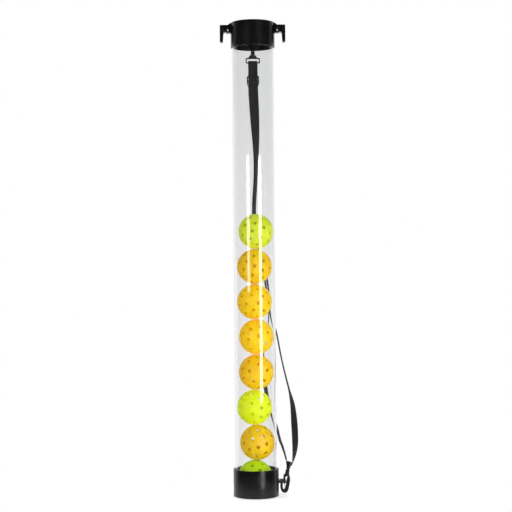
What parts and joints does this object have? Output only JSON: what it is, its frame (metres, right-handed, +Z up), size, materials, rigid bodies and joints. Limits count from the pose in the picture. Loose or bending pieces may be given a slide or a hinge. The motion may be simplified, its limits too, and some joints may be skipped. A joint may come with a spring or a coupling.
{
  "type": "pickleball pick-up tube",
  "caption": "Clear upright ball tube with a hooked top cap, an open retaining foot cap, perforated balls inside and an adjustable strap on two swivel snap hooks.",
  "frame": {"origin": "on the tube's axis, in the plane that the foot cap stands on", "axes": "+Z up along the tube; +X to the lower strap anchor; +Y to the side that the strap hangs on"},
  "size_m": [0.159, 0.1187, 1],
  "materials": {
    "clear_tube": "clear, polished",
    "black_plastic": "satin moulded",
    "dark_metal": "dark satin coating",
    "webbing": "woven narrow webbing",
    "ball_lime": "matte moulded",
    "ball_yellow": "matte moulded",
    "ball_amber": "matte moulded",
    "ball_neon": "matte moulded",
    "ball_green": "matte moulded"
  },
  "bodies": {
    "root": {"tube": "clear_tube", "bottom_cap": "black_plastic", "retainer_ring": "black_plastic", "top_cap": "black_plastic", "strap_anchor_top": "black_plastic", "strap_anchor_bottom": "black_plastic", "top_snap_body": "dark_metal", "top_gate_pin": "dark_metal", "top_gate_spring": "dark_metal", "bottom_snap_body": "dark_metal", "bottom_gate_pin": "dark_metal", "bottom_gate_spring": "dark_metal", "strap_main_run": "webbing", "strap_return_run": "webbing"},
    "ball_8": {"ball_8": "ball_green"},
    "ball_7": {"ball_7": "ball_yellow"},
    "ball_6": {"ball_6": "ball_neon"},
    "ball_5": {"ball_5": "ball_amber"},
    "ball_4": {"ball_4": "ball_yellow"},
    "ball_3": {"ball_3": "ball_amber"},
    "ball_2": {"ball_2": "ball_yellow"},
    "ball_1": {"ball_1": "ball_lime"},
    "finger_1": {"retainer_finger_1": "black_plastic"},
    "finger_2": {"retainer_finger_2": "black_plastic"},
    "finger_3": {"retainer_finger_3": "black_plastic"},
    "finger_4": {"retainer_finger_4": "black_plastic"},
    "finger_5": {"retainer_finger_5": "black_plastic"},
    "finger_6": {"retainer_finger_6": "black_plastic"},
    "top_gate": {"top_snap_gate": "dark_metal"},
    "bottom_gate": {"bottom_snap_gate": "dark_metal"},
    "top_eye": {"top_swivel_eye": "dark_metal", "strap_top_loop": "webbing"},
    "bottom_eye": {"bottom_swivel_eye": "dark_metal", "strap_bottom_loop": "webbing"},
    "slider": {"strap_slider": "dark_metal", "strap_slider_loop": "webbing"}
  },
  "joints": [
    {"name": "ball_8_slide", "type": "slide", "parent": "root", "child": "ball_8", "axis": [0, 0, 1], "range_m": [0, 0.4]},
    {"name": "ball_7_slide", "type": "slide", "parent": "root", "child": "ball_7", "axis": [0, 0, 1], "range_m": [0, 0.4]},
    {"name": "ball_6_slide", "type": "slide", "parent": "root", "child": "ball_6", "axis": [0, 0, 1], "range_m": [0, 0.4]},
    {"name": "ball_5_slide", "type": "slide", "parent": "root", "child": "ball_5", "axis": [0, 0, 1], "range_m": [0, 0.4]},
    {"name": "ball_4_slide", "type": "slide", "parent": "root", "child": "ball_4", "axis": [0, 0, 1], "range_m": [0, 0.4]},
    {"name": "ball_3_slide", "type": "slide", "parent": "root", "child": "ball_3", "axis": [0, 0, 1], "range_m": [0, 0.4]},
    {"name": "ball_2_slide", "type": "slide", "parent": "root", "child": "ball_2", "axis": [0, 0, 1], "range_m": [0, 0.4]},
    {"name": "ball_1_slide", "type": "slide", "parent": "root", "child": "ball_1", "axis": [0, 0, 1], "range_m": [0, 0.4]},
    {"name": "finger_1_flex", "type": "hinge", "parent": "root", "child": "finger_1", "pos_m": [0.0402, 0, 0.0105], "axis": [0, 1, 0], "range_deg": [0, 13], "stiffness_Nm_per_rad": 0.05},
    {"name": "finger_2_flex", "type": "hinge", "parent": "root", "child": "finger_2", "pos_m": [0.0201, 0.03481, 0.0105], "axis": [-0.866, 0.5, 0], "range_deg": [0, 13], "stiffness_Nm_per_rad": 0.05},
    {"name": "finger_3_flex", "type": "hinge", "parent": "root", "child": "finger_3", "pos_m": [-0.0201, 0.03481, 0.0105], "axis": [-0.866, -0.5, 0], "range_deg": [0, 13], "stiffness_Nm_per_rad": 0.05},
    {"name": "finger_4_flex", "type": "hinge", "parent": "root", "child": "finger_4", "pos_m": [-0.0402, 0, 0.0105], "axis": [0, -1, 0], "range_deg": [0, 13], "stiffness_Nm_per_rad": 0.05},
    {"name": "finger_5_flex", "type": "hinge", "parent": "root", "child": "finger_5", "pos_m": [-0.0201, -0.03481, 0.0105], "axis": [0.866, -0.5, 0], "range_deg": [0, 13], "stiffness_Nm_per_rad": 0.05},
    {"name": "finger_6_flex", "type": "hinge", "parent": "root", "child": "finger_6", "pos_m": [0.0201, -0.03481, 0.0105], "axis": [0.866, 0.5, 0], "range_deg": [0, 13], "stiffness_Nm_per_rad": 0.05},
    {"name": "top_gate_open", "type": "hinge", "parent": "root", "child": "top_gate", "pos_m": [0, 0.0562, 0.9494], "axis": [-1, 0, 0], "range_deg": [0, 25], "stiffness_Nm_per_rad": 0.02},
    {"name": "bottom_gate_open", "type": "hinge", "parent": "root", "child": "bottom_gate", "pos_m": [0.05979, 0, 0.04117], "axis": [0, -1, 0], "range_deg": [0, 25], "stiffness_Nm_per_rad": 0.02},
    {"name": "top_swivel", "type": "hinge", "parent": "root", "child": "top_eye", "pos_m": [0, 0.0608, 0.93], "axis": [0, 0, 1], "continuous": true},
    {"name": "bottom_swivel", "type": "hinge", "parent": "root", "child": "bottom_eye", "pos_m": [0.06749, 0, 0.05957], "axis": [0.1625, 0, 0.9867], "continuous": true},
    {"name": "slider_adjust", "type": "slide", "parent": "root", "child": "slider", "axis": [0, 0, 1], "range_m": [-0.02, 0.008]}
  ],
  "couplings": [
    {"joint": "ball_7_slide", "follows": "ball_8_slide", "ratio": 1},
    {"joint": "ball_6_slide", "follows": "ball_8_slide", "ratio": 1},
    {"joint": "ball_5_slide", "follows": "ball_8_slide", "ratio": 1},
    {"joint": "ball_4_slide", "follows": "ball_8_slide", "ratio": 1},
    {"joint": "ball_3_slide", "follows": "ball_8_slide", "ratio": 1},
    {"joint": "ball_2_slide", "follows": "ball_8_slide", "ratio": 1},
    {"joint": "ball_1_slide", "follows": "ball_8_slide", "ratio": 1},
    {"joint": "finger_2_flex", "follows": "finger_1_flex", "ratio": 1},
    {"joint": "finger_3_flex", "follows": "finger_1_flex", "ratio": 1},
    {"joint": "finger_4_flex", "follows": "finger_1_flex", "ratio": 1},
    {"joint": "finger_5_flex", "follows": "finger_1_flex", "ratio": 1},
    {"joint": "finger_6_flex", "follows": "finger_1_flex", "ratio": 1}
  ]
}
